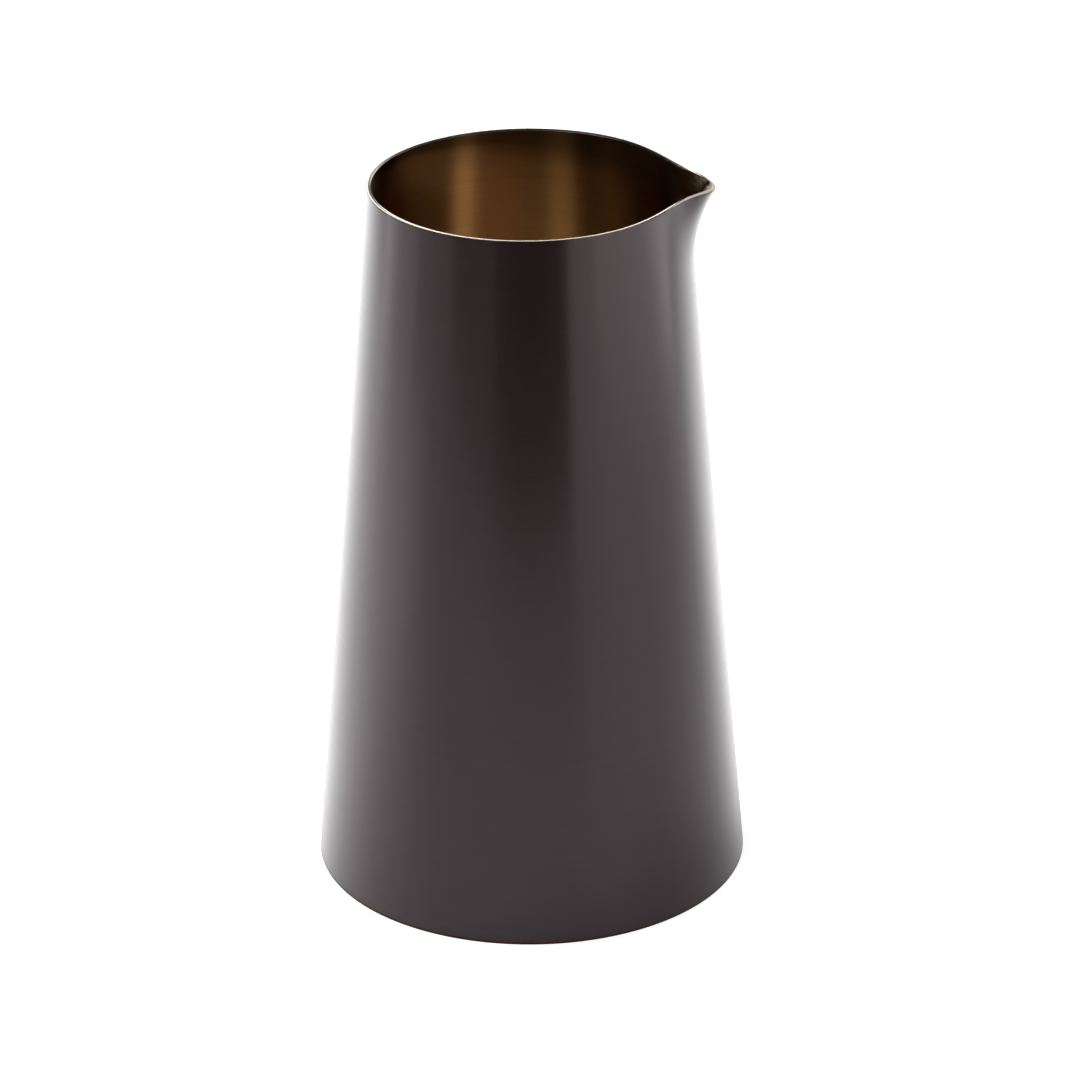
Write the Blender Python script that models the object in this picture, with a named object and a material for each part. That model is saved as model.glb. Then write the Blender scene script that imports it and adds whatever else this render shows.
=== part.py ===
"""Creamer: a tapered sheet-metal jug with a pressed pouring lip and a base soldered in from below.

Metres, +Z up. The origin is the centre of the foot, on the table, and the lip points along +X.
"""

import math

import bmesh
import bpy

MM = 0.001

# Wall: one sheet, drawn in towards the mouth
HEIGHT = 125 * MM
FOOT_DIAMETER = 75.5 * MM
MOUTH_DIAMETER = 54 * MM
WALL_SHEET = 0.8 * MM
EDGE_ROUND = 0.25 * MM

# Lip: the rim pressed outwards, with the flanks beside it drawn in
LIP_REACH = 4.6 * MM
LIP_DEPTH = 14.7 * MM
LIP_SPREAD = 6 * MM
FLANK_PINCH = 0.4 * MM
FLANK_DEPTH = 25 * MM
FLANK_OFFSET = 16.5 * MM
FLANK_SPREAD = 7 * MM

# Base: a pressed pan with a turned-down flange that wedges in the taper
FLOOR_HEIGHT = 4.5 * MM
FLOOR_CROWN = 0.5 * MM
BASE_SHEET = 0.8 * MM
BEND_RADIUS = 1.6 * MM
FLANGE_LIFT = 0.4 * MM

# Solder: the ring that closes the groove between the base's bend and the wall
JOINT_GAP = 0.3 * MM
SOLDER_CLIMB = 1.6 * MM

# Facets
WALL_COLUMNS = 96
LIP_CROWDING = 0.55
PLAIN_RINGS = 3
LIP_RINGS = 10
EDGE_SEGMENTS = 2
TURNED_STEPS = 72
FLOOR_RINGS = 4
BEND_SEGMENTS = 4
MENISCUS_SEGMENTS = 4
EDGE_ANGLE = math.radians(60)

TAPER = (FOOT_DIAMETER - MOUTH_DIAMETER) / 2 / HEIGHT
LEAN = math.atan(TAPER)


def clear_scene():
    for scene_object in list(bpy.data.objects):
        bpy.data.objects.remove(scene_object)


def metal(name, colour, roughness):
    material = bpy.data.materials.new(name)
    material.use_nodes = True
    shader = material.node_tree.nodes["Principled BSDF"]
    shader.inputs["Base Color"].default_value = (*colour, 1)
    shader.inputs["Metallic"].default_value = 1
    shader.inputs["Roughness"].default_value = roughness
    material.diffuse_color = (*colour, 1)
    return material


def add_piece(name, mesh, material, parent, height=0):
    """One named piece, standing at a height on the jug's axis."""
    piece = bpy.data.objects.new(name, mesh)
    bpy.context.scene.collection.objects.link(piece)
    piece.parent = parent
    piece.location.z = height
    mesh.materials.append(material)
    return piece


def wall_radius(height):
    """Radius of the wall's outer face away from the lip."""
    return FOOT_DIAMETER / 2 - TAPER * height


def bore_radius(height, clearance=0):
    """Radius inside the wall, less a clearance measured square to it."""
    return wall_radius(height) - (WALL_SHEET + clearance) / math.cos(LEAN)


def bell(distance, spread):
    return math.exp(-((distance / spread) ** 2))


def pressed_point(angle, height):
    """A point of the wall's outer face once the lip is pressed.

    The lip leans out on an even curve from its throat to the rim. The sheet bends there and doesn't
    stretch, so the rim sinks a little as it leans out.
    """
    along_rim = MOUTH_DIAMETER / 2 * math.remainder(angle, 2 * math.pi)
    nose = LIP_REACH * bell(along_rim, LIP_SPREAD)
    pinch = FLANK_PINCH * bell(abs(along_rim) - FLANK_OFFSET, FLANK_SPREAD)
    below_rim = HEIGHT - height
    lip_share = max(0, 1 - below_rim / LIP_DEPTH)
    flank_share = max(0, 1 - below_rim / FLANK_DEPTH)
    radius = wall_radius(height) + nose * lip_share**2 - pinch * flank_share**2
    sink = 2 / 3 * nose**2 / LIP_DEPTH * lip_share**3 - TAPER * nose * lip_share**2
    return radius * math.cos(angle), radius * math.sin(angle), height - sink


def column_angles():
    """Angles once round the axis, closest together at the lip."""
    turns = [2 * math.pi * column / WALL_COLUMNS for column in range(WALL_COLUMNS)]
    return [turn - LIP_CROWDING * math.sin(turn) for turn in turns]


def ring_heights():
    """Heights from the foot to the rim, closer together where the wall is pressed."""
    plain = HEIGHT - max(LIP_DEPTH, FLANK_DEPTH)
    lower = [plain * ring / PLAIN_RINGS for ring in range(PLAIN_RINGS)]
    upper = [plain + (HEIGHT - plain) * ring / LIP_RINGS for ring in range(LIP_RINGS + 1)]
    return lower + upper


def make_wall(material, parent):
    """The wall with its lip: the outer face, thickened inwards, with a flat foot and eased edges."""
    sheet = bmesh.new()
    rings = []
    for height in ring_heights():
        rings.append([sheet.verts.new(pressed_point(angle, height)) for angle in column_angles()])
    for lower, upper in zip(rings, rings[1:]):
        for column in range(WALL_COLUMNS):
            beside = (column + 1) % WALL_COLUMNS
            sheet.faces.new((lower[column], lower[beside], upper[beside], upper[column]))
    sheet.normal_update()
    bmesh.ops.solidify(sheet, geom=sheet.faces[:], thickness=WALL_SHEET)
    for corner in sheet.verts:
        if corner.co.z < WALL_SHEET:
            corner.co.z = 0
    mesh = bpy.data.meshes.new("wall")
    sheet.to_mesh(mesh)
    sheet.free()
    wall = add_piece("wall", mesh, material, parent)
    eased = wall.modifiers.new("eased_edges", "BEVEL")
    eased.limit_method = "ANGLE"
    eased.angle_limit = EDGE_ANGLE
    eased.width = EDGE_ROUND
    eased.segments = EDGE_SEGMENTS
    mesh.shade_smooth()
    return wall


def arc(centre, radius, start, end, segments):
    """Points of an arc in the turning plane, as (radius from the axis, height)."""
    steps = [start + (end - start) * step / segments for step in range(segments + 1)]
    return [(centre[0] + radius * math.cos(a), centre[1] + radius * math.sin(a)) for a in steps]


def turn(name, profile, closed, material, parent):
    """A piece turned about the jug's axis, from a profile measured from the floor's height."""
    mesh = bpy.data.meshes.new(name)
    edges = [(point, point + 1) for point in range(len(profile) - 1)]
    if closed:
        edges.append((len(profile) - 1, 0))
    mesh.from_pydata([(radius, 0, height) for radius, height in profile], edges, [])
    piece = add_piece(name, mesh, material, parent, FLOOR_HEIGHT)
    screw = piece.modifiers.new("turned", "SCREW")
    screw.steps = screw.render_steps = TURNED_STEPS
    screw.use_merge_vertices = True
    screw.merge_threshold = 0.01 * MM
    screw.use_smooth_shade = True
    return piece


def bend_centre():
    """Centre of the base's bend, where the bend meets the flange's face and the floor squarely."""
    touch_height = FLOOR_HEIGHT - BEND_RADIUS + BEND_RADIUS * math.sin(LEAN)
    return bore_radius(touch_height, JOINT_GAP) - BEND_RADIUS * math.cos(LEAN), -BEND_RADIUS


def make_base(material, parent):
    """The base: a crowned floor, a bend and a flange, pressed from one sheet."""
    centre = bend_centre()
    floor = []
    for ring in range(FLOOR_RINGS):
        share = ring / FLOOR_RINGS
        floor.append((centre[0] * share, FLOOR_CROWN * (1 - share**2)))
    bend = arc(centre, BEND_RADIUS, math.pi / 2, LEAN, BEND_SEGMENTS)
    flange_end = (bore_radius(FLANGE_LIFT, JOINT_GAP), FLANGE_LIFT - FLOOR_HEIGHT)
    base = turn("base", [*floor, *bend, flange_end], False, material, parent)
    pressed = base.modifiers.new("sheet", "SOLIDIFY")
    pressed.thickness = BASE_SHEET
    pressed.offset = -1
    pressed.use_even_offset = True
    return base


def make_solder(material, parent):
    """The solder ring: it lies in the groove above the bend and climbs the wall in a hollow curve."""
    centre = bend_centre()
    bed_radius = BEND_RADIUS + JOINT_GAP
    deepest = LEAN + math.acos(BEND_RADIUS / bed_radius)
    bed = arc(centre, bed_radius, deepest, math.pi / 2, BEND_SEGMENTS)
    crest = (bore_radius(FLOOR_HEIGHT + SOLDER_CLIMB, JOINT_GAP), SOLDER_CLIMB)
    toe = bed[-1]
    hollow = []
    for step in range(1, MENISCUS_SEGMENTS):
        swing = math.pi / 2 * step / MENISCUS_SEGMENTS
        out = toe[0] + (crest[0] - toe[0]) * math.sin(swing)
        up = toe[1] + (crest[1] - toe[1]) * (1 - math.cos(swing))
        hollow.append((out, up))
    return turn("base_solder", [crest, *bed, *hollow], True, material, parent)


def main():
    clear_scene()
    creamer = bpy.data.objects.new("creamer", None)
    bpy.context.scene.collection.objects.link(creamer)
    dark_bronze = metal("dark_bronze", (0.085, 0.072, 0.073), 0.38)
    bronze = metal("brushed_bronze", (0.42, 0.27, 0.15), 0.32)
    solder = metal("solder", (0.38, 0.3, 0.22), 0.4)
    make_wall(dark_bronze, creamer)
    make_base(bronze, creamer)
    make_solder(solder, creamer)


main()
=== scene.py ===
"""Creamer: the jug's visible metalwork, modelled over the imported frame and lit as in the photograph."""

import math

import bpy
from mathutils import Matrix, Vector


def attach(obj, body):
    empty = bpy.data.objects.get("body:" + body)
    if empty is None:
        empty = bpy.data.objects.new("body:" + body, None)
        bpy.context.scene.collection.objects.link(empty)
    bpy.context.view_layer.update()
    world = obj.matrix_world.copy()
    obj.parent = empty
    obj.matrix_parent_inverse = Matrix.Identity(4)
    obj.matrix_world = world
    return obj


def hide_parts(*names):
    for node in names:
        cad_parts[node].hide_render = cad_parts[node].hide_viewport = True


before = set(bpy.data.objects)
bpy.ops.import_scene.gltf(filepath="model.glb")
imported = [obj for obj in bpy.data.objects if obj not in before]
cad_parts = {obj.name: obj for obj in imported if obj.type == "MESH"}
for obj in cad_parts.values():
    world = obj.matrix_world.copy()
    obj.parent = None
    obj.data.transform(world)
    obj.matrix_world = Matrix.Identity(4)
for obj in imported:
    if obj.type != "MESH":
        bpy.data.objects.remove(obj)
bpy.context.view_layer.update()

MM = 0.001

# Wall and lip, as in the part's source
HEIGHT = 125 * MM
FOOT_RADIUS = 37.75 * MM
MOUTH_RADIUS = 27 * MM
SHEET = 0.8 * MM
LIP_REACH = 4.6 * MM
LIP_DEPTH = 14.7 * MM
LIP_SPREAD = 6 * MM
FLANK_PINCH = 0.4 * MM
FLANK_DEPTH = 25 * MM
FLANK_OFFSET = 16.5 * MM
FLANK_SPREAD = 7 * MM
TAPER = (FOOT_RADIUS - MOUTH_RADIUS) / HEIGHT
LEAN = math.atan(TAPER)

# Base and solder, as in the part's source
FLOOR_HEIGHT = 4.5 * MM
FLOOR_CROWN = 0.5 * MM
BEND_RADIUS = 1.6 * MM
FLANGE_LIFT = 0.4 * MM
JOINT_GAP = 0.3 * MM
SOLDER_CLIMB = 1.6 * MM

# Finer than the part's source: eased edges, the rubbed foot with its painted contact shade, and solder run
# out to its neighbours
FOOT_ROUND = 0.25 * MM
RIM_ROUND = 0.07 * MM
FLANGE_ROUND = 0.2 * MM
FOOT_BAND = 0.5 * MM
RIM_BAND = 0.625 * MM
SOLDER_TOUCH = 0.01 * MM
TOE_RUN = 0.5 * MM
TOE_RISE = 0.02 * MM

# Facets
COLUMNS = 288
PLAIN_RINGS = 9
LIP_RINGS = 26
FLOOR_SHARES = (0.97, 0.85, 0.7, 0.55, 0.4, 0.25, 0.12, 0.03)
EDGE_SEGMENTS = 4
BEND_SEGMENTS = 8
SOLDER_SEGMENTS = 10
MERGE_DISTANCE = 0.001 * MM
SHARP_ANGLE = math.radians(50)
SMOOTH_ANGLE = math.radians(40)

# Order of the materials on a sheet piece
FACE, BACK, EDGE, RUBBED_AND_SHADED = range(4)

# Table, backdrop and room, where a level of 1 shows as white
TABLE_FRONT = -0.31
TABLE_BACK = 0.5
TABLE_WIDTH = 0.7
CAMERA_GLOW = 0.6
FRONT_GLOW = 0.08
BACK_GLOW = 0.65
GLOW_FADE = (-0.03, 0.05)
BACK_LEFT = (-0.5, 1, 0)
BACKDROP = 1
BACKDROP_FADE = (0.06, 0.42)
HORIZON_FADE = (-0.15, -0.05)
ROOM = 0.07
ROOM_FADE = (-0.2, 0.2)
WHITE = (1, 1, 1, 1)

# Lamps
PANEL_DISTANCE = 1
CEILING = 0.9
UP_HIGH = (0.55, 0.95)
BESIDE_TABLE = (-0.3, 0.35)
BEHIND_RIM = (0.28, 0.52)
LOW_ON_JUG = (0, 0, 0.05)
SMALL_BOX = (0.25, 0.25)

# Camera, as fitted to the jug's outline
CAMERA_TURN = math.radians(2.2)
CAMERA_ROLL = math.radians(-0.342)
CAMERA_EYE = (0, -734.13 * MM, 399.9 * MM)
CAMERA_TARGET = (1.785 * MM, 0, 59.06 * MM)
LENS = 155.5
SENSOR = 36


# Shapes

def draw_ring(name, radius, height):
    """A new piece that starts as one ring round the axis, left in edit mode with that ring selected."""
    bpy.ops.object.select_all(action="DESELECT")
    bpy.ops.mesh.primitive_circle_add(vertices=COLUMNS, radius=radius, location=(0, 0, height))
    piece = bpy.context.object
    piece.name = piece.data.name = name
    bpy.ops.object.transform_apply(location=True, rotation=True, scale=True)
    bpy.ops.object.mode_set(mode="EDIT")
    bpy.ops.mesh.select_all(action="SELECT")
    return piece


def pull_rings(rings):
    """Extrudes the selected ring through the rest of the rings, each moved and scaled to its place."""
    for (radius, height), (next_radius, next_height) in zip(rings, rings[1:]):
        bpy.ops.mesh.extrude_region_move(TRANSFORM_OT_translate={"value": (0, 0, next_height - height)})
        grow = next_radius / radius
        bpy.ops.transform.resize(value=(grow, grow, 1), center_override=(0, 0, 0))


def face_outwards():
    """Merges doubles and turns every face of the piece in edit mode outwards."""
    bpy.ops.mesh.select_all(action="SELECT")
    bpy.ops.mesh.remove_doubles(threshold=MERGE_DISTANCE)
    bpy.ops.mesh.normals_make_consistent(inside=False)


def choose(piece, kind, wanted):
    """Selects, in edit mode, the vertices or faces that pass the test."""
    bpy.ops.mesh.select_all(action="DESELECT")
    bpy.ops.mesh.select_mode(type=kind)
    bpy.ops.object.mode_set(mode="OBJECT")
    parts = piece.data.vertices if kind == "VERT" else piece.data.polygons
    for part in parts:
        part.select = wanted(part)
    bpy.ops.object.mode_set(mode="EDIT")


def give_sheet(piece, materials):
    """Thickens a face inwards. The materials are for the face, its back, the cut edge and the rubbed foot
    with its painted contact shade.
    """
    bpy.ops.object.mode_set(mode="OBJECT")
    for material in materials:
        piece.data.materials.append(material)
    sheet = piece.modifiers.new("sheet", "SOLIDIFY")
    sheet.thickness = SHEET
    sheet.offset = -1
    sheet.use_even_offset = True
    sheet.use_quality_normals = True
    sheet.material_offset = BACK
    sheet.material_offset_rim = EDGE
    bpy.ops.object.modifier_apply(modifier=sheet.name)


def ease_edges(piece, width, at_height, material):
    """Rounds the sharp edges whose height passes the test, as a file and a buff leave them."""
    bpy.ops.object.mode_set(mode="EDIT")
    bpy.ops.mesh.select_mode(type="EDGE")
    bpy.ops.mesh.select_all(action="DESELECT")
    bpy.ops.mesh.edges_select_sharp(sharpness=SHARP_ANGLE)
    bpy.ops.object.mode_set(mode="OBJECT")
    points = piece.data.vertices
    sharp = [edge for edge in piece.data.edges if edge.select]
    wanted = [edge.index for edge in sharp if all(at_height(points[end].co.z) for end in edge.vertices)]
    bpy.ops.object.mode_set(mode="EDIT")
    bpy.ops.mesh.select_all(action="DESELECT")
    bpy.ops.object.mode_set(mode="OBJECT")
    for index in wanted:
        piece.data.edges[index].select = True
    bpy.ops.object.mode_set(mode="EDIT")
    bpy.ops.mesh.bevel(offset=width, segments=EDGE_SEGMENTS, profile=0.5, affect="EDGES", material=material)


def finish_piece(piece, node):
    """Smooth shading, and the piece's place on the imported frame."""
    bpy.ops.object.mode_set(mode="OBJECT")
    bpy.ops.object.shade_smooth_by_angle(angle=SMOOTH_ANGLE)
    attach(piece, "root")
    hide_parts(node)


def wall_radius(height):
    """Radius of the wall's outer face away from the lip."""
    return FOOT_RADIUS - TAPER * height


def bore_radius(height, clearance=0):
    """Radius inside the wall, less a clearance measured square to it."""
    return wall_radius(height) - (SHEET + clearance) / math.cos(LEAN)


def bell(distance, spread):
    return math.exp(-((distance / spread) ** 2))


def press_lip(piece):
    """Leans the rim out into the pouring lip and draws in the flanks beside it.

    The sheet bends there and doesn't stretch, so the rim sinks a little as it leans out.
    """
    for vertex in piece.data.vertices:
        x, y, height = vertex.co
        angle = math.atan2(y, x)
        along_rim = MOUTH_RADIUS * angle
        nose = LIP_REACH * bell(along_rim, LIP_SPREAD)
        pinch = FLANK_PINCH * bell(abs(along_rim) - FLANK_OFFSET, FLANK_SPREAD)
        below_rim = HEIGHT - height
        lip_share = max(0, 1 - below_rim / LIP_DEPTH)
        flank_share = max(0, 1 - below_rim / FLANK_DEPTH)
        radius = wall_radius(height) + nose * lip_share**2 - pinch * flank_share**2
        sink = 2 / 3 * nose**2 / LIP_DEPTH * lip_share**3 - TAPER * nose * lip_share**2
        vertex.co = (radius * math.cos(angle), radius * math.sin(angle), height - sink)


def make_wall(outside, inside, rim, foot):
    """The tapered wall: rings raised from foot to rim, the lip pressed, then the sheet and its edges."""
    lip_foot = HEIGHT - FLANK_DEPTH
    heights = [0, FOOT_BAND]
    heights += [lip_foot * ring / PLAIN_RINGS for ring in range(1, PLAIN_RINGS)]
    heights += [lip_foot + FLANK_DEPTH * ring / LIP_RINGS for ring in range(LIP_RINGS)]
    heights += [HEIGHT - RIM_BAND, HEIGHT]
    rings = [(wall_radius(height), height) for height in heights]
    wall = draw_ring("creamer_wall", *rings[0])
    pull_rings(rings)
    face_outwards()
    bpy.ops.object.mode_set(mode="OBJECT")
    press_lip(wall)
    give_sheet(wall, (outside, inside, rim, foot))
    bpy.ops.object.mode_set(mode="EDIT")
    # The foot is cut flat, to stand on the table
    choose(wall, "VERT", lambda vertex: vertex.co.z < FOOT_BAND / 2)
    bpy.ops.transform.resize(value=(1, 1, 0), center_override=(0, 0, 0))
    # The table has rubbed the lowest band, and its colour is painted dark with the table's contact shadow
    choose(wall, "FACE", lambda face: face.center.z < FOOT_BAND)
    wall.active_material_index = RUBBED_AND_SHADED
    bpy.ops.object.material_slot_assign()
    # The foot's rounded edge takes the rubbed band's painted contact shade. The rim's rounded edges keep the
    # outside finish, and its flat top stays bare
    ease_edges(wall, FOOT_ROUND, lambda height: height < LIP_DEPTH, RUBBED_AND_SHADED)
    ease_edges(wall, RIM_ROUND, lambda height: height > LIP_DEPTH, FACE)
    finish_piece(wall, "wall")


def bend_centre():
    """Centre of the base's bend, where the bend meets the flange's face and the floor squarely."""
    touch_height = FLOOR_HEIGHT - BEND_RADIUS + BEND_RADIUS * math.sin(LEAN)
    return bore_radius(touch_height, JOINT_GAP) - BEND_RADIUS * math.cos(LEAN), FLOOR_HEIGHT - BEND_RADIUS


def arc(centre, radius, start, end, segments):
    """Rings along an arc, as (radius from the axis, height)."""
    steps = [start + (end - start) * step / segments for step in range(segments + 1)]
    return [(centre[0] + radius * math.cos(a), centre[1] + radius * math.sin(a)) for a in steps]


def make_base(floor_metal, under, edge):
    """The base pan: flange, bend and crowned floor raised from the flange's lower edge to the middle."""
    centre = bend_centre()
    rings = [(bore_radius(FLANGE_LIFT, JOINT_GAP), FLANGE_LIFT)]
    rings += arc(centre, BEND_RADIUS, LEAN, math.pi / 2, BEND_SEGMENTS)
    for share in FLOOR_SHARES:
        rings.append((centre[0] * share, FLOOR_HEIGHT + FLOOR_CROWN * (1 - share**2)))
    base = draw_ring("creamer_base", *rings[0])
    pull_rings(rings)
    # The innermost ring closes to the middle point
    bpy.ops.mesh.extrude_region_move(TRANSFORM_OT_translate={"value": (0, 0, 0)})
    bpy.ops.mesh.merge(type="CENTER")
    face_outwards()
    give_sheet(base, (floor_metal, under, edge))
    ease_edges(base, FLANGE_ROUND, lambda height: height < FLOOR_HEIGHT, EDGE)
    finish_piece(base, "base")


def make_solder(metal):
    """The solder: it fills the groove between bend and wall and climbs the wall in a hollow curve."""
    bed = arc(bend_centre(), BEND_RADIUS + SOLDER_TOUCH, LEAN, math.pi / 2, SOLDER_SEGMENTS)
    crest_height = FLOOR_HEIGHT + SOLDER_CLIMB
    crest = (bore_radius(crest_height, SOLDER_TOUCH), crest_height)
    toe = (bed[-1][0] - TOE_RUN, bed[-1][1] + TOE_RISE)
    hollow = []
    for step in range(SOLDER_SEGMENTS):
        swing = math.pi / 2 * step / SOLDER_SEGMENTS
        out = toe[0] + (crest[0] - toe[0]) * math.sin(swing)
        up = toe[1] + (crest[1] - toe[1]) * (1 - math.cos(swing))
        hollow.append((out, up))
    rings = [*bed, *hollow, crest]
    solder = draw_ring("creamer_base_solder", *rings[0])
    pull_rings(rings)
    # The first and last rings are joined, so that the section closes
    bpy.ops.mesh.select_all(action="SELECT")
    bpy.ops.mesh.select_mode(type="EDGE")
    bpy.ops.mesh.region_to_loop()
    bpy.ops.mesh.bridge_edge_loops()
    face_outwards()
    bpy.ops.object.mode_set(mode="OBJECT")
    solder.data.materials.append(metal)
    finish_piece(solder, "base_solder")


# Nodes

def linear(hex_colour):
    """A linear colour from an sRGB hex value."""
    channels = [int(hex_colour[place:place + 2], 16) / 255 for place in (0, 2, 4)]
    return [c / 12.92 if c <= 0.04045 else ((c + 0.055) / 1.055) ** 2.4 for c in channels] + [1]


def add_node(tree, kind, sockets=None, **settings):
    """A node with its settings; each named socket takes a value or a link from another node's output."""
    made = tree.nodes.new(kind)
    for name, value in settings.items():
        setattr(made, name, value)
    for name, value in (sockets or {}).items():
        if isinstance(value, bpy.types.NodeSocket):
            tree.links.new(value, made.inputs[name])
        else:
            made.inputs[name].default_value = value
    return made


def object_place(tree):
    return add_node(tree, "ShaderNodeTexCoord").outputs["Object"]


def calculate(tree, operation, *values):
    """One step of arithmetic on values or outputs."""
    return add_node(tree, "ShaderNodeMath", dict(enumerate(values)), operation=operation).outputs["Value"]


def map_range(tree, value, source=(0, 1), target=(0, 1), smooth=False):
    """Carries a value from one range over to another."""
    made = add_node(
        tree,
        "ShaderNodeMapRange",
        {
            "Value": value,
            "From Min": source[0],
            "From Max": source[1],
            "To Min": target[0],
            "To Max": target[1],
        },
        interpolation_type="SMOOTHSTEP" if smooth else "LINEAR",
    )
    return made.outputs["Result"]


def blend(tree, first, second, share, mode="MIX"):
    """Two colours mixed. The node has its colours in sockets 6 and 7 and in output 2."""
    sockets = {6: first, 7: second, "Factor": share}
    return add_node(tree, "ShaderNodeMix", sockets, data_type="RGBA", blend_type=mode).outputs[2]


def noise(tree, place, size, detail=2):
    """A soft random pattern of a given size."""
    sockets = {"Vector": place, "Scale": 1 / size, "Detail": detail}
    return add_node(tree, "ShaderNodeTexNoise", sockets).outputs["Fac"]


# Materials

def new_material(name):
    material = bpy.data.materials.new(name)
    material.use_nodes = True
    material.node_tree.nodes.clear()
    return material, material.node_tree


def give_metal(tree, colour, roughness, more=None):
    """The metal that a material shows, from its colour, its roughness and any more sockets."""
    surface = add_node(
        tree,
        "ShaderNodeBsdfPrincipled",
        {"Base Color": colour, "Metallic": 1, "Roughness": roughness, **(more or {})},
    )
    add_node(tree, "ShaderNodeOutputMaterial", {"Surface": surface.outputs["BSDF"]})


def brush_lines(tree, place):
    """Fine lines round the axis. Real ones are about 0.05 mm apart; these are coarser, so that they show."""
    spacing = 0.4 * MM
    length = 80 * MM
    sockets = {"Vector": place, "Scale": (1 / length, 1 / length, 1 / spacing)}
    along = add_node(tree, "ShaderNodeMapping", sockets)
    return noise(tree, along.outputs["Vector"], 1, detail=3)


def brushed_round(tree, strength):
    """Sockets of a metal brushed round the axis, which smears each gleam up and down the wall."""
    tangent = add_node(tree, "ShaderNodeTangent", direction_type="RADIAL", axis="Z").outputs["Tangent"]
    return {"Anisotropic": strength, "Anisotropic Rotation": 0.25, "Tangent": tangent}


def dark_bronze_finish():
    """Brass under a dark bronze finish and clear lacquer: mauve black, satin, with bright soft edges.

    The metal is dark and brushed round the axis, so it smears each light up the wall. The lacquer over it
    mirrors the table and the room a little, and strongly where the wall turns away.
    """
    material, tree = new_material("dark_bronze_finish_on_brass")
    place = object_place(tree)
    lines = brush_lines(tree, place)
    # The finish is a little uneven over patches of about 35 mm
    patches = noise(tree, place, 35 * MM)
    tone = blend(tree, linear("33282c"), linear("3a2d32"), patches)
    fine = map_range(tree, lines, target=(0.94, 1.06))
    brushed = add_node(tree, "ShaderNodeVectorMath", {0: tone, "Scale": fine}, operation="SCALE")
    lacquer = {"Coat Weight": 1, "Coat Roughness": 0.2, "Coat IOR": 1.4}
    give_metal(
        tree,
        brushed.outputs["Vector"],
        map_range(tree, lines, target=(0.26, 0.32)),
        {**brushed_round(tree, 0.8), **lacquer},
    )
    return material


def darker_under_rim(tree, place):
    """How much of the bronze colour is kept under the rim: darker near the rim, with the dark band reaching
    deepest on the lip's side.
    """
    axes = add_node(tree, "ShaderNodeSeparateXYZ", {"Vector": place})
    reach = map_range(tree, axes.outputs["X"], (-20 * MM, 30 * MM), (6 * MM, 36 * MM))
    below_rim = calculate(tree, "SUBTRACT", HEIGHT, axes.outputs["Z"])
    depth = calculate(tree, "DIVIDE", below_rim, reach)
    drift = add_node(tree, "ShaderNodeValToRGB", {"Fac": depth})
    # Each stop is a share of the dark band's reach and the share of the bronze colour kept there
    stops = drift.color_ramp.elements
    for position, share in ((0.15, 0.22), (0.35, 0.62), (0.6, 0.82)):
        stops.new(position).color = (share, share, share, 1)
    stops[0].color = (0.15, 0.15, 0.15, 1)
    stops[-1].color = WHITE
    return drift.outputs["Color"]


def dulled_nose(tree, place):
    """How far pouring has dulled the nose of the lip, in specks of about 0.7 mm."""
    tip = (MOUTH_RADIUS + LIP_REACH, 0, HEIGHT)
    from_tip = add_node(tree, "ShaderNodeVectorMath", {0: place, 1: tip}, operation="DISTANCE")
    specks = map_range(tree, noise(tree, place, 0.7 * MM), (0.35, 0.6), (0, 0.9))
    near_tip = map_range(tree, from_tip.outputs["Value"], (1 * MM, 8 * MM), (1, 0), smooth=True)
    return calculate(tree, "MULTIPLY", near_tip, specks)


def brushed_bronze_inside():
    """Bronze brushed round the axis: golden brown, and each light makes one upright streak on it.

    It is darker just under the rim, deepest on the lip's side, and greyer on the nose of the lip.
    """
    material, tree = new_material("brushed_bronze_inside")
    place = object_place(tree)
    lines = brush_lines(tree, place)
    tone = blend(tree, linear("94683c"), linear("a47545"), lines)
    # The colour is made darker in a band just below the rim
    darkened_under_rim = blend(tree, tone, darker_under_rim(tree, place), 1, mode="MULTIPLY")
    colour = blend(tree, darkened_under_rim, linear("9c8874"), dulled_nose(tree, place))
    give_metal(tree, colour, map_range(tree, lines, target=(0.34, 0.4)), brushed_round(tree, 1))
    return material


def rubbed_foot_painted_contact_shade():
    """The finish rubbed thin where the jug stands, without lacquer, and painted dark as the table's contact
    shadow: a dark line with a golden gleam.
    """
    material, tree = new_material("bronze_rubbed_thin_painted_contact_shade")
    # Rubbing shows the brass through in specks of about 1.5 mm
    specks = noise(tree, object_place(tree), 1.5 * MM)
    # Both tones are dark partly because the contact shadow at the foot is painted into them
    tone = blend(tree, linear("33230d"), linear("4c391b"), specks)
    give_metal(tree, tone, map_range(tree, specks, target=(0.3, 0.42)))
    return material


def bare_brass_rim():
    """Bare brass, cut and buffed: the rim's flat top, a thin cream line."""
    material, tree = new_material("bare_brass_rim")
    # Buffing leaves marks of about 1 mm
    marks = noise(tree, object_place(tree), 1 * MM)
    tone = blend(tree, linear("e6dac6"), linear("f2e8d8"), marks)
    give_metal(tree, tone, map_range(tree, marks, target=(0.1, 0.16)))
    return material


def soft_solder():
    """Tin solder, run round the floor and coloured with the inside: dull brown, with a rippled skin."""
    material, tree = new_material("tin_solder_bronzed")
    # The ripples of a hand-run joint are about 2 mm long and 0.1 mm deep
    ripples = noise(tree, object_place(tree), 2 * MM, detail=3)
    tone = blend(tree, linear("6a5038"), linear("84684c"), ripples)
    skin = add_node(tree, "ShaderNodeBump", {"Height": ripples, "Strength": 0.3, "Distance": 0.1 * MM})
    roughness = map_range(tree, ripples, target=(0.38, 0.52))
    give_metal(tree, tone, roughness, {"Normal": skin.outputs["Normal"]})
    return material


# Studio

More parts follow.
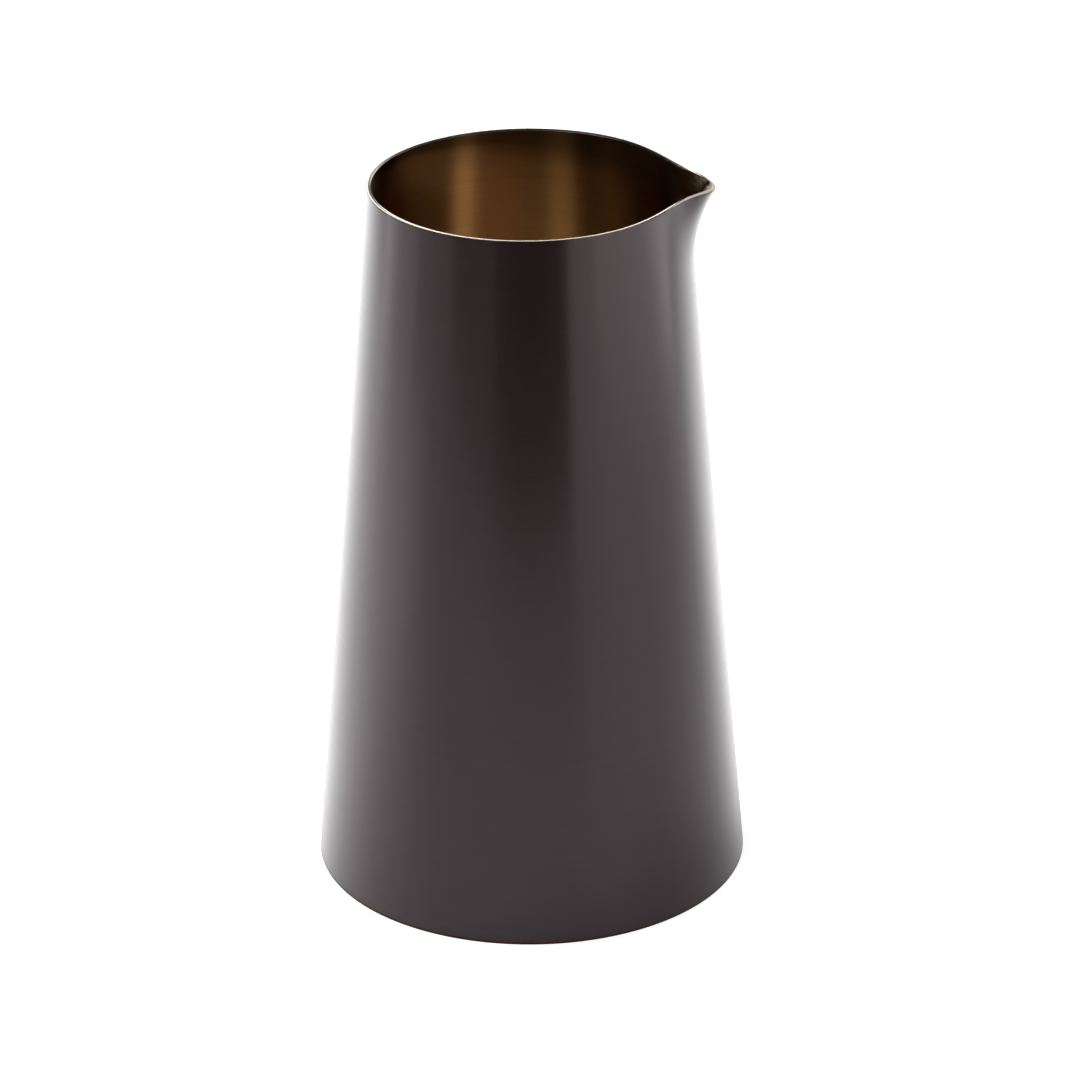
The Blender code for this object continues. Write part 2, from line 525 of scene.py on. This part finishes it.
def make_floor():
    """A white table top that keeps the jug's soft shadow.

    A glow makes it show white to the camera. Metal and glass mirror a weaker glow, which fades towards the
    front right: a painted pool of light at the back left and a painted shadow of the jug at the front right.
    """
    bpy.ops.object.select_all(action="DESELECT")
    bpy.ops.mesh.primitive_plane_add(size=1, location=(0, (TABLE_FRONT + TABLE_BACK) / 2, 0))
    bpy.ops.transform.resize(value=(TABLE_WIDTH, TABLE_BACK - TABLE_FRONT, 1))
    bpy.ops.object.transform_apply(location=True, rotation=True, scale=True)
    floor = bpy.context.object
    floor.name = "studio_floor"
    material, tree = new_material("white_table_top")
    paint = add_node(tree, "ShaderNodeBsdfDiffuse", {"Color": linear("dcdcdc")})
    path = add_node(tree, "ShaderNodeLightPath").outputs
    by_metal_or_glass = calculate(tree, "MAXIMUM", path["Is Glossy Ray"], path["Is Transmission Ray"])
    # Painted light for reflections: the mirrored glow is brighter at the back left and dims towards the
    # front right as the jug's shadow
    sockets = {0: object_place(tree), 1: BACK_LEFT}
    to_back_left = add_node(tree, "ShaderNodeVectorMath", sockets, operation="DOT_PRODUCT")
    painted_pool_and_shadow = map_range(tree, to_back_left.outputs["Value"], GLOW_FADE, (FRONT_GLOW, BACK_GLOW))
    mirrored_level = calculate(tree, "MULTIPLY", by_metal_or_glass, painted_pool_and_shadow)
    seen_level = calculate(tree, "MULTIPLY_ADD", path["Is Camera Ray"], CAMERA_GLOW, mirrored_level)
    glow = add_node(tree, "ShaderNodeEmission", {"Color": WHITE, "Strength": seen_level})
    both = add_node(tree, "ShaderNodeAddShader", {0: paint.outputs["BSDF"], 1: glow.outputs["Emission"]})
    add_node(tree, "ShaderNodeOutputMaterial", {"Surface": both.outputs["Shader"]})
    floor.data.materials.append(material)


def make_softbox(name, place, aim, size, brightness):
    """A flat soft lamp. At a brightness of 1 it would show as white."""
    light = bpy.data.lights.new(name, "AREA")
    light.shape = "RECTANGLE"
    light.size, light.size_y = size
    light.energy = math.pi * size[0] * size[1] * brightness
    lamp = bpy.data.objects.new(name, light)
    bpy.context.scene.collection.objects.link(lamp)
    lamp.location = place
    lamp.rotation_euler = (Vector(aim) - Vector(place)).to_track_quat("-Z", "Y").to_euler()


def make_panel(name, azimuths, heights, brightness):
    """An upright softbox on a circle round the jug, facing it.

    It spans two azimuths in degrees, where 0 is the camera's side and 90 the lip's, and two heights.
    """
    start, end = azimuths
    low, high = heights
    middle = math.radians((start + end) / 2)
    half_span = math.radians((end - start) / 2)
    width = 2 * PANEL_DISTANCE * math.sin(half_span)
    distance = PANEL_DISTANCE * math.cos(half_span)
    height = (low + high) / 2
    place = (distance * math.sin(middle), -distance * math.cos(middle), height)
    make_softbox(name, place, (0, 0, height), (width, high - low), brightness)


def make_lamps():
    # High in front: the two streaks inside, and the softer light between and beside them
    make_panel("streak_right", azimuths=(44, 59), heights=UP_HIGH, brightness=12.5)
    make_panel("streak_left", azimuths=(-34, -15), heights=UP_HIGH, brightness=7.2)
    make_panel("front_top", azimuths=(-15, 44), heights=UP_HIGH, brightness=2.8)
    make_panel("high_right", azimuths=(59, 110), heights=UP_HIGH, brightness=0.9)
    make_panel("high_left", azimuths=(-90, -34), heights=UP_HIGH, brightness=0.5)
    # Beside the table and reaching below its top: the lighter bands on the upper wall
    make_panel("right_front", azimuths=(29, 48), heights=BESIDE_TABLE, brightness=0.9)
    make_panel("right_side", azimuths=(48, 112), heights=BESIDE_TABLE, brightness=1.4)
    make_panel("left_front", azimuths=(-50, -20), heights=BESIDE_TABLE, brightness=0.17)
    make_panel("left_middle", azimuths=(-78, -50), heights=BESIDE_TABLE, brightness=0.55)
    make_panel("left_side", azimuths=(-112, -78), heights=BESIDE_TABLE, brightness=1.05)
    # Behind, for the rim's bare top to mirror: the middle is for its front, the right for the lip
    make_panel("back_right", azimuths=(150, 171), heights=BEHIND_RIM, brightness=0.75)
    make_panel("back_middle_right", azimuths=(171, 177), heights=(0.28, 0.4), brightness=2)
    make_panel("back_middle", azimuths=(178, 183), heights=(0.28, 0.36), brightness=3)
    make_panel("back_left", azimuths=(183, 195), heights=BEHIND_RIM, brightness=1.8)
    make_panel("back_high", azimuths=(150, 177), heights=(0.52, 0.8), brightness=0.6)
    make_panel("back_step", azimuths=(177, 181), heights=(0.51, 0.6), brightness=1.2)
    make_panel("back_low", azimuths=(150, 171), heights=(-0.05, 0.28), brightness=0.6)
    # Light on the table, most of it from above on the left
    make_softbox("key", (-0.3, 0.45, 0.25), LOW_ON_JUG, SMALL_BOX, brightness=3.5)
    make_softbox("fill", (-0.2, 0.1, 0.7), LOW_ON_JUG, SMALL_BOX, brightness=15)
    # Aimed 1 mm off plumb, so that its long side runs from left to right
    make_softbox("over_back", (0, 0.3, CEILING), (0, 0.3 + MM, 0), (0.9, 0.4), brightness=2)


def make_world():
    """A white backdrop, low behind the jug, and a dim room on the photographer's side.

    The room is warm where metal mirrors it, and the camera sees white all round.
    """
    world = bpy.data.worlds.new("studio")
    bpy.context.scene.world = world
    world.use_nodes = True
    tree = world.node_tree
    tree.nodes.clear()
    towards = add_node(tree, "ShaderNodeTexCoord").outputs["Generated"]
    axes = add_node(tree, "ShaderNodeSeparateXYZ", {"Vector": towards}).outputs
    behind = map_range(tree, axes["Y"], BACKDROP_FADE, (0, BACKDROP), smooth=True)
    low_down = map_range(tree, axes["Z"], HORIZON_FADE, (1, 0), smooth=True)
    in_front = map_range(tree, axes["Y"], ROOM_FADE, (1, 0))
    room = calculate(tree, "MULTIPLY", in_front, ROOM)
    level = calculate(tree, "MULTIPLY_ADD", behind, low_down, room)
    path = add_node(tree, "ShaderNodeLightPath").outputs
    warmth = calculate(tree, "MULTIPLY", in_front, path["Is Glossy Ray"])
    light = blend(tree, WHITE, linear("ffe08a"), warmth)
    strength = calculate(tree, "MAXIMUM", path["Is Camera Ray"], level)
    sky = add_node(tree, "ShaderNodeBackground", {"Color": light, "Strength": strength})
    add_node(tree, "ShaderNodeOutputWorld", {"Surface": sky.outputs["Background"]})


def make_camera():
    """The photograph's camera, turned a little round the jug and rolled a little on its own axis."""
    turn = Matrix.Rotation(CAMERA_TURN, 3, "Z")
    eye = turn @ Vector(CAMERA_EYE)
    target = turn @ Vector(CAMERA_TARGET)
    lens = bpy.data.cameras.new("camera")
    lens.sensor_width = SENSOR
    lens.lens = LENS
    camera = bpy.data.objects.new("camera", lens)
    bpy.context.scene.collection.objects.link(camera)
    aim = (target - eye).to_track_quat("-Z", "Y").to_matrix()
    roll = Matrix.Rotation(CAMERA_ROLL, 3, "Z")
    camera.matrix_world = Matrix.Translation(eye) @ (aim @ roll).to_4x4()
    bpy.context.scene.camera = camera


dark_bronze = dark_bronze_finish()
bronze_inside = brushed_bronze_inside()

make_wall(dark_bronze, bronze_inside, bare_brass_rim(), rubbed_foot_painted_contact_shade())
make_base(bronze_inside, dark_bronze, dark_bronze)
make_solder(soft_solder())

make_floor()
make_lamps()
make_world()
make_camera()

bpy.context.scene.view_settings.view_transform = "Standard"
